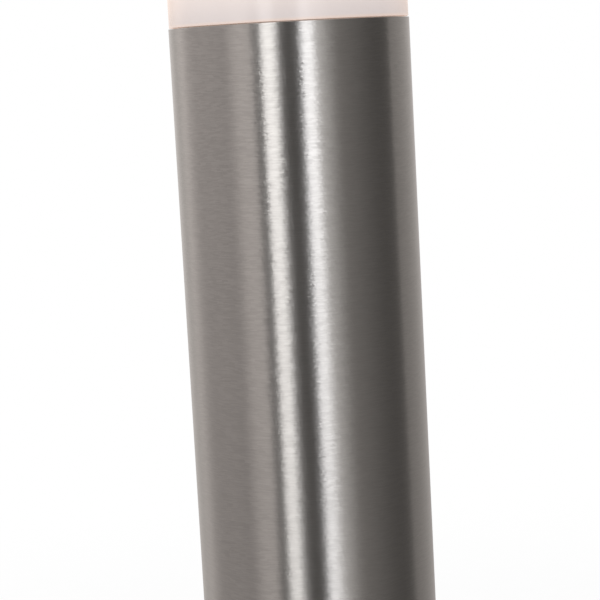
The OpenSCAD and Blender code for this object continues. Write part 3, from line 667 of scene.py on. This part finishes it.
def lamp_cap():
    """E27 screw cap with a real right-hand thread, rolled from thin sheet."""
    low, high = SCREW_CAP_LOW.z, SCREW_CAP_HIGH.z
    crest = SCREW_CAP_HIGH.x
    depth, sheet, pitch = 0.8 * MM, 0.5 * MM, 25.4 * MM / 7
    root = crest - depth
    rings = 96
    thread_low, thread_high, fade = low + 1.2 * MM, high - 1.2 * MM, 1.5 * MM

    def outline(turn):
        wall = []
        for i in range(rings + 1):
            z = low + 1 * MM + (high - low - 1 * MM) * i / rings
            wave = 0.5 - 0.5 * math.cos(2 * math.pi * z / pitch - turn)
            share = min(1, max(0, (z - thread_low) / fade)) * min(1, max(0, (thread_high - z) / fade))
            wall.append((root + depth * wave * share, z))
        return [(0.0, low), *arc(root - 1 * MM, low + 1 * MM, 1 * MM, -90, 0, 5)[:-1], *wall,
                (root - sheet, high), (root - sheet, low + 1.4 * MM), (0.0, low + 1.4 * MM)]

    return turned("edison_cap", outline, 128)


def globe():
    radius = GLOBE_HIGH.x
    centre_z = GLOBE_HIGH.z - radius
    rim = math.degrees(math.asin((centre_z - GLOBE_LOW.z) / radius))
    wall = 1.2 * MM
    return turned("frosted_globe", [
        *arc(0, centre_z, radius, -rim, 90, 40)[:-1], (0.0, GLOBE_HIGH.z),
        (0.0, GLOBE_HIGH.z - wall), *arc(0, centre_z, radius - wall, 90, -rim, 40)[1:],
    ], 128)


def plate():
    """Base plate with eased edges, four anchor holes, the cable hole and three countersinks below."""
    sink_r, sink_depth, chamfer = 8.1 * MM, 5.8 * MM, 1.2 * MM
    low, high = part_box("base_plate")
    top, rim = high.z, high.x
    bore = MOUNT_SIZES["cable_entry"]["r_mm"] * MM
    piece = turned("anchor_plate", [
        (bore, 0.5 * MM),
        (bore + 0.5 * MM, 0.0),
        *arc(rim - 0.6 * MM, 0.6 * MM, 0.6 * MM, -90, 0, 4),
        *arc(rim - 1 * MM, top - 1 * MM, 1 * MM, 0, 90, 6),
        (bore + 0.5 * MM, top),
        (bore, top - 0.5 * MM),
    ])
    holes = MOUNT_SIZES["anchor_holes"]
    circle_r, hole_r, count = holes["pcd_mm"] / 2 * MM, holes["hole_r_mm"] * MM, holes["count"]
    turns = [math.radians(45 + i * 360 / count) for i in range(count)]
    anchors = [Vector((circle_r * math.cos(t), circle_r * math.sin(t), top)) for t in turns]
    drill(piece, anchors, hole_r, 4 * top, UP)
    drill(piece, anchors, hole_r, chamfer, UP, hole_r + chamfer)
    feet = [Vector((p.x, p.y, 0)) for p in islands("socket_screws")]
    drill(piece, feet, M5_R + FREE, 4 * top, UP)
    return drill(piece, feet, sink_r, sink_depth, UP, M5_R + FREE)


def socket():
    """Cast socket: the seat under the tube, the barrel inside it and its tapped holes."""
    low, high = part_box("post_socket")
    seat_r, barrel_r, bore = high.x, TUBE_HIGH.x - TUBE_WALL - 0.05 * MM, 25 * MM
    piece = turned("socket_casting", [
        (bore + 0.5 * MM, low.z),
        *arc(seat_r - 0.5 * MM, low.z + 0.5 * MM, 0.5 * MM, -90, 0, 4),
        *arc(seat_r - 0.4 * MM, TUBE_LOW.z - 0.4 * MM, 0.4 * MM, 0, 90, 4),
        (barrel_r, TUBE_LOW.z),
        *arc(barrel_r - 1 * MM, high.z - 2.4 * MM, 1 * MM, 0, 40, 4),
        *arc(barrel_r - 2.3 * MM, high.z - 0.8 * MM, 0.8 * MM, 40, 90, 4),
        *arc(bore + 0.8 * MM, high.z - 0.8 * MM, 0.8 * MM, 90, 180, 4),
        (bore, low.z + 0.5 * MM),
    ])
    feet = [Vector((p.x, p.y, low.z)) for p in islands("socket_screws")]
    drill(piece, feet, M5_R, 30 * MM, UP)
    return drill(piece, islands("tube_screws"), M6_R, 40 * MM)


def screw(name, place, start, seat, end, shank_r, head_r, flats, recess):
    """A socket screw along the line outwards through a place, with its distances from the Z axis."""
    ease, hex_r = 0.3 * MM, flats * HEX_CORNER / 2
    flat_r, rim = hex_r + 0.25 * MM, seat + 0.5 * MM
    dome = [(flat_r + (head_r - flat_r) * math.cos(t), rim + (end - rim) * math.sin(t))
            for t in [math.radians(9 * i) for i in range(11)]]
    head = [(shank_r, seat), (head_r - 0.15 * MM, seat), (head_r, seat + 0.15 * MM), *dome]
    if head_r == shank_r:
        head = [(shank_r, end - ease), (shank_r - ease, end)]
    shank = [(0.0, start), (shank_r - ease, start), (shank_r, start + ease)]
    piece = turned(name, [*shank, *head, (0.0, end)], 64)
    drill(piece, [UP * end], hex_r, 2 * recess, UP, sides=6)
    outward = Vector((place.x, place.y, 0)).normalized()
    turn = outward.to_track_quat("Z", "Y").to_matrix().to_4x4()
    piece.data.transform(Matrix.Translation(UP * place.z) @ turn)
    return piece


def button_screws():
    start, seat, end = 27 * MM, TUBE_HIGH.x + 0.1 * MM, TUBE_HIGH.x + 3.2 * MM
    head_r, flats, recess = 5.2 * MM, 4 * MM, 1.8 * MM
    return merged("button_heads", [
        screw("button_head", place, start, seat, end, M6_R, head_r, flats, recess)
        for place in islands("tube_screws")])


def grub_screws():
    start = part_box("head_collar")[1].x - 3 * MM
    end = TUBE_HIGH.x - 0.3 * MM
    flats, recess = 2 * MM, 2.1 * MM
    return merged("set_screws", [
        screw("set_screw", place, start, end, end, GRUB_R, GRUB_R, flats, recess)
        for place in islands("head_grub_screws")])


def collar():
    """Ring in the tube's top that seats the head, with a lip below for the holder's bracket."""
    low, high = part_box("head_collar")
    outer, inner, lip_r, lip_top = high.x, high.x - 3 * MM, 25.5 * MM, low.z + 5 * MM
    ease = 0.3 * MM
    piece = turned("seat_ring", [
        (lip_r, low.z + ease), (lip_r + ease, low.z),
        *arc(outer - ease, low.z + ease, ease, -90, 0, 3),
        (outer, high.z - ease), (outer - ease, high.z),
        *arc(inner + 2 * ease, high.z - 2 * ease, 2 * ease, 90, 180, 4),
        (inner, lip_top + ease), (inner - ease, lip_top),
        *arc(lip_r + ease, lip_top - ease, ease, 90, 180, 3),
    ])
    drill(piece, islands("head_grub_screws"), GRUB_R, 14 * MM)
    screws = [Vector((p.x, p.y, low.z)) for p in islands("holder_bracket_screws")]
    return drill(piece, screws, M3_R, 30 * MM, UP)


def spigot():
    """Ring bonded in the diffuser's end; the part below plugs into the collar and holds the O-ring."""
    low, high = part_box("head_spigot")
    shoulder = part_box("head_collar")[1].z
    wide, slim, inner = high.x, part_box("head_collar")[1].x - 3.05 * MM, 30.7 * MM
    groove_z, half, depth = (SEAL_RING_LOW.z + SEAL_RING_HIGH.z) / 2, 1.2 * MM, 1.6 * MM
    ease, tiny = 0.5 * MM, 0.15 * MM
    return turned("plug_ring", [
        *arc(inner + tiny, low.z + tiny, tiny, 180, 270, 3),
        *arc(slim - ease, low.z + ease, ease, -90, 0, 5),
        *arc(slim - tiny, groove_z - half - tiny, tiny, 0, 90, 3),
        (slim - depth, groove_z - half),
        (slim - depth, groove_z + half),
        *arc(slim - tiny, groove_z + half + tiny, tiny, -90, 0, 3),
        (slim, shoulder),
        (wide, shoulder),
        (wide, high.z - tiny),
        (wide - tiny, high.z),
        *arc(inner + ease, high.z - ease, ease, 90, 180, 4),
    ])


def o_ring():
    radius = (SEAL_RING_HIGH.z - SEAL_RING_LOW.z) / 2
    centre_z = (SEAL_RING_HIGH.z + SEAL_RING_LOW.z) / 2
    return turned("sealing_cord", arc(SEAL_RING_HIGH.x - radius, centre_z, radius, 0, 345, 23))


def cap_seal():
    low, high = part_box("cap_gasket")
    inner, ease = TUBE_HIGH.x - CAP_WALL - 0.1 * MM, 0.3 * MM
    return turned("flat_gasket", [
        (inner, low.z),
        *arc(high.x - ease, low.z + ease, ease, -90, 0, 4),
        *arc(high.x - ease, high.z - ease, ease, 0, 90, 4),
        (inner, high.z),
    ])


def lamp_shell():
    """The lamp's white body: a shell that widens to the globe, with a fine groove under its rim."""
    low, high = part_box("lamp_body")
    foot_r, rim_r, wall, straight = 13.4 * MM, high.x, 1.6 * MM, 4 * MM
    steps, height = 32, high.z - low.z

    def flare(share):
        z = low.z + straight + (height - straight) * share
        r = foot_r + (rim_r - foot_r) * (0.5 - 0.5 * math.cos(math.pi * share))
        groove = 0.25 * MM * math.exp(-((z - high.z + 3 * MM) / (0.35 * MM)) ** 2)
        return r, z, groove

    shares = [i / steps for i in range(steps)] + [1 - 0.6 * MM * i / height for i in range(9, -1, -1)]
    shares = sorted(set(shares))
    outside = [(r - groove, z) for r, z, groove in map(flare, shares)]
    inside = [(r - wall, z) for r, z, groove in map(flare, reversed(shares))]
    return turned("lamp_housing", [
        (SCREW_CAP_HIGH.x - 0.8 * MM, low.z),
        *arc(foot_r - 0.4 * MM, low.z + 0.4 * MM, 0.4 * MM, -90, 0, 4),
        *outside, *inside,
        (foot_r - wall, low.z + 1 * MM),
        (SCREW_CAP_HIGH.x - 0.8 * MM, low.z + 1 * MM),
    ], 128)


def holder_shell():
    """Contact sleeve with the thread rolled into its wall."""
    low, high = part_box("lampholder_shell")
    outer, inner, pitch, depth, rings = high.x, 13.55 * MM, 25.4 * MM / 7, 0.4 * MM, 100

    def outline(turn):
        wall = []
        for i in range(rings + 1):
            z = high.z - (high.z - low.z) * i / rings
            wave = 0.5 - 0.5 * math.cos(2 * math.pi * z / pitch - turn)
            share = min(1, (high.z - z) / (1.5 * MM), (z - low.z) / (1.5 * MM))
            wall.append((inner + depth * wave * share, z))
        return [(outer, low.z), (outer, high.z), *wall]

    return turned("threaded_sleeve", outline, 128)


def porcelain_body():
    """Glazed body: the wiring chamber below, the lamp's well above and a waist round the outside."""
    low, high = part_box("lampholder_body")
    z, r = low.z, high.x
    entry, chamber, well = 5 * MM, 15 * MM, 14.5 * MM
    chamber_low, chamber_high, floor_z = z + 8 * MM, z + 17 * MM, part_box("lampholder_shell")[0].z
    return turned("glazed_body", [
        (entry, z),
        *arc(r - 2 * MM, z + 2 * MM, 2 * MM, -90, 0, 8),
        *arc(r - 0.4 * MM, z + 29.8 * MM, 0.4 * MM, 0, 45, 4),
        *arc(r, z + 32 * MM, 1.1 * MM, 225, 135, 8),
        *arc(r - 0.4 * MM, z + 34.2 * MM, 0.4 * MM, -45, 0, 4),
        *arc(r - 1.5 * MM, high.z - 1.5 * MM, 1.5 * MM, 0, 90, 8),
        *arc(well + 0.8 * MM, high.z - 0.8 * MM, 0.8 * MM, 90, 180, 5),
        (well, floor_z),
        (0.0, floor_z),
        (0.0, chamber_high),
        (chamber, chamber_high),
        (chamber, chamber_low),
        (entry, chamber_low),
    ], 128)


# ---------------------------------------------------------------- the pieces

shape("post_tube", post_tube())
shape("diffuser", diffuser())
shape("cap", cap())
shape("base_cover", base_cover())
shape("cover_seal", cover_seal())
shape("lamp_screw_cap", lamp_cap())
shape("lamp_globe", globe())
shape("base_plate", plate())
shape("post_socket", socket())
shape("tube_screws", button_screws())
shape("head_grub_screws", grub_screws())
shape("head_collar", collar())
shape("head_spigot", spigot())
shape("head_o_ring", o_ring())
shape("cap_gasket", cap_seal())
shape("lamp_body", lamp_shell())
shape("lampholder_shell", holder_shell())
shape("lampholder_body", porcelain_body())

for node, cad in NODES.items():
    paint(cad, SLOTS[node])


# ---------------------------------------------------------------- studio

class Card:
    """A soft upright panel of light round the object, by its azimuth in degrees from the camera's side.

    Its level grows towards the top by the top factor, and its two edges may lean, in degrees per degree.
    A level below zero takes light away: it is the dark panel between the two bright ones.
    """

    def __init__(self, low, high, fades, level, tint, top=1.0, lean=(0.0, 0.0)):
        self.low, self.high = low, high
        self.fade_low, self.fade_high = fades
        self.lean_low, self.lean_high = lean
        self.level, self.tint, self.top = level, tint, top


NEUTRAL, WARM, PINK, COOL = (1.0, 1.0, 1.0), (1.0, 0.95, 0.915), (1.0, 0.925, 0.905), (0.97, 1.0, 1.05)
# Only glossy rays see the cards. Their numbers were set to give the photograph's reflections.
CARDS = [
    Card(-27.5, -16.15, (1.2, 0.4), 0.88, NEUTRAL, 3.1, (0.0, 0.1)),
    Card(-16.15, -13.8, (0.4, 0.6), 0.035, NEUTRAL, 38.0, (0.1, 0.1)),
    Card(8.4, 18.4, (0.6, 0.8), 0.53, COOL, 3.9, (0.1, 0.1)),
    Card(18.4, 21.8, (0.8, 1.5), 0.03, COOL, 36.0, (0.1, 0.1)),
    Card(11.3, 20, (2, 27), 0.4, NEUTRAL, 1.6, (0.1, 0.1)),
    Card(11.3, 21, (2, 75), 0.16, WARM, 1.2, (0.1, 0.0)),
    Card(-15.5, 7.4, (1, 1), -0.03, WARM, -0.2, (0.1, 0.1)),
    Card(-125, -41, (20, 5), 0.17, PINK, 3.0, (0.0, 0.1)),
    Card(-200, -140, (5, 33), 0.238, WARM, 1.3),
    Card(-52, -41, (16, 6), 0.2, WARM, 1.6, (0.0, 0.1)),
    Card(-38, -27, (3, 1), 0.014, NEUTRAL, 11.0),
    Card(-185, -90, (5, 35), 0.05, WARM, 1.2),
    Card(110, 185, (4, 5), 0.118, WARM, 2.1),
    Card(22, 185, (20, 5), 0.013, WARM, 1.5),
]
# Heights in degrees: where a leaning edge stands at its own azimuth, and where the top factor starts and ends
LEAN_FROM = -8.0
TOP_LOW, TOP_HIGH = -7.0, 6.0
BACKDROP_LEVEL = 0.42
AMBIENT_LEVEL, CEILING_LEVEL, GROUND_LEVEL = 0.08, 0.7, 0.3
FILL_LEVEL, KEY_STRENGTH, FLOOR_LIFT = 0.7, 0.55, 0.22


def studio():
    """White to the camera, an even fill for dull surfaces, and the cards for glossy ones."""
    world = bpy.data.worlds.new("studio")
    world.use_nodes = True
    bpy.context.scene.world = world
    w = Tree(world.node_tree)
    x, y, z = w.split(w.add("ShaderNodeTexCoord").outputs["Generated"])
    azimuth = w.math("DEGREES", w.math("ARCTAN2", x, w.math("MULTIPLY", y, -1.0)))
    height = w.math("DEGREES", w.math("ARCSINE", z))

    def leant(lean):
        return w.math("SUBTRACT", azimuth, w.math("MULTIPLY", w.math("SUBTRACT", height, LEAN_FROM), lean))

    walls = w.vector("SCALE", w.join(*WARM), scale=AMBIENT_LEVEL)
    for card in CARDS:
        rise = w.ease(leant(card.lean_low), card.low - card.fade_low, card.low)
        fall = w.ease(leant(card.lean_high), card.high, card.high + card.fade_high, 1.0, 0.0)
        level = w.math("MULTIPLY", w.ease(height, TOP_LOW, TOP_HIGH, 1.0, card.top), card.level)
        level = w.math("MULTIPLY", level, w.math("MULTIPLY", rise, fall))
        walls = w.vector("ADD", walls, w.vector("SCALE", w.join(*card.tint), scale=level))
    behind = w.math("ABSOLUTE", azimuth)
    backdrop = w.ease(behind, 100.0, 200.0, 0.0, BACKDROP_LEVEL)
    walls = w.vector("ADD", walls, w.vector("SCALE", w.join(*WARM), scale=backdrop))
    glossy = w.mix(w.ease(height, 30.0, 65.0), walls, shade(NEUTRAL, CEILING_LEVEL))
    glossy = w.mix(w.ease(height, -60.0, -30.0, 1.0, 0.0), glossy, shade(WARM, GROUND_LEVEL))
    path = w.add("ShaderNodeLightPath")
    colour = w.mix(path.outputs["Is Glossy Ray"], shade(NEUTRAL, FILL_LEVEL), glossy)
    colour = w.mix(path.outputs["Is Camera Ray"], colour, NEUTRAL)
    background = w.add("ShaderNodeBackground")
    w.feed(background.inputs["Color"], colour)
    w.feed(background.inputs["Strength"], 1.0)
    w.tree.links.new(background.outputs[0], w.add("ShaderNodeOutputWorld").inputs[0])


def key_light():
    light = bpy.data.lights.new("key", "SUN")
    light.energy = KEY_STRENGTH
    light.angle = math.radians(24)
    sun = bpy.data.objects.new("key", light)
    sun.rotation_euler = Euler((math.radians(38), 0, math.radians(-42)))
    sun.visible_glossy = False
    bpy.context.scene.collection.objects.link(sun)


def floor():
    """Pale ground that turns into the white background further out."""
    bpy.ops.mesh.primitive_circle_add(vertices=96, radius=40, fill_type="NGON")
    ground = bpy.context.object
    ground.name = "studio_floor"
    material = bpy.data.materials.new("pale_floor")
    material.use_nodes = True
    t = Tree(material.node_tree)
    point = t.object_point()
    speck = t.noise(point, 40.0, 3.0)
    near = t.add("ShaderNodeBsdfDiffuse")
    t.feed(near.inputs["Color"], t.mix(speck, (0.86, 0.86, 0.86), (0.9, 0.9, 0.9)))
    lift = t.add("ShaderNodeEmission")
    t.feed(lift.inputs["Strength"], FLOOR_LIFT)
    lit = t.add("ShaderNodeAddShader")
    t.feed(lit.inputs[0], near.outputs[0])
    t.feed(lit.inputs[1], lift.outputs[0])
    far = t.add("ShaderNodeEmission")
    distance = t.vector("LENGTH", point)
    blend = t.add("ShaderNodeMixShader")
    t.feed(blend.inputs[0], t.ease(distance, 0.9, 2.0))
    t.feed(blend.inputs[1], lit.outputs[0])
    t.feed(blend.inputs[2], far.outputs[0])
    t.tree.links.new(blend.outputs[0], t.add("ShaderNodeOutputMaterial").inputs[0])
    ground.data.materials.append(material)
    ground.visible_glossy = False


def camera():
    """Close to the head and a little below the joint, looking slightly down, and tilted a little."""
    distance, drop, lens = 0.594, 8.8 * MM, 111.6
    data = bpy.data.cameras.new("camera")
    data.lens = lens
    data.sensor_width = 36
    data.clip_start = 0.01
    eye = bpy.data.objects.new("camera", data)
    pitch, roll, yaw = math.radians(7.65), math.radians(3.12), math.radians(0.115)
    eye.matrix_world = (
        Matrix.Translation((0, -distance, JOINT_Z - drop))
        @ Matrix.Rotation(yaw, 4, "Z")
        @ Matrix.Rotation(math.radians(90) - pitch, 4, "X")
        @ Matrix.Rotation(-roll, 4, "Z")
    )
    bpy.context.scene.collection.objects.link(eye)
    bpy.context.scene.camera = eye


studio()
key_light()
floor()
camera()
bpy.context.scene.view_settings.view_transform = "Standard"
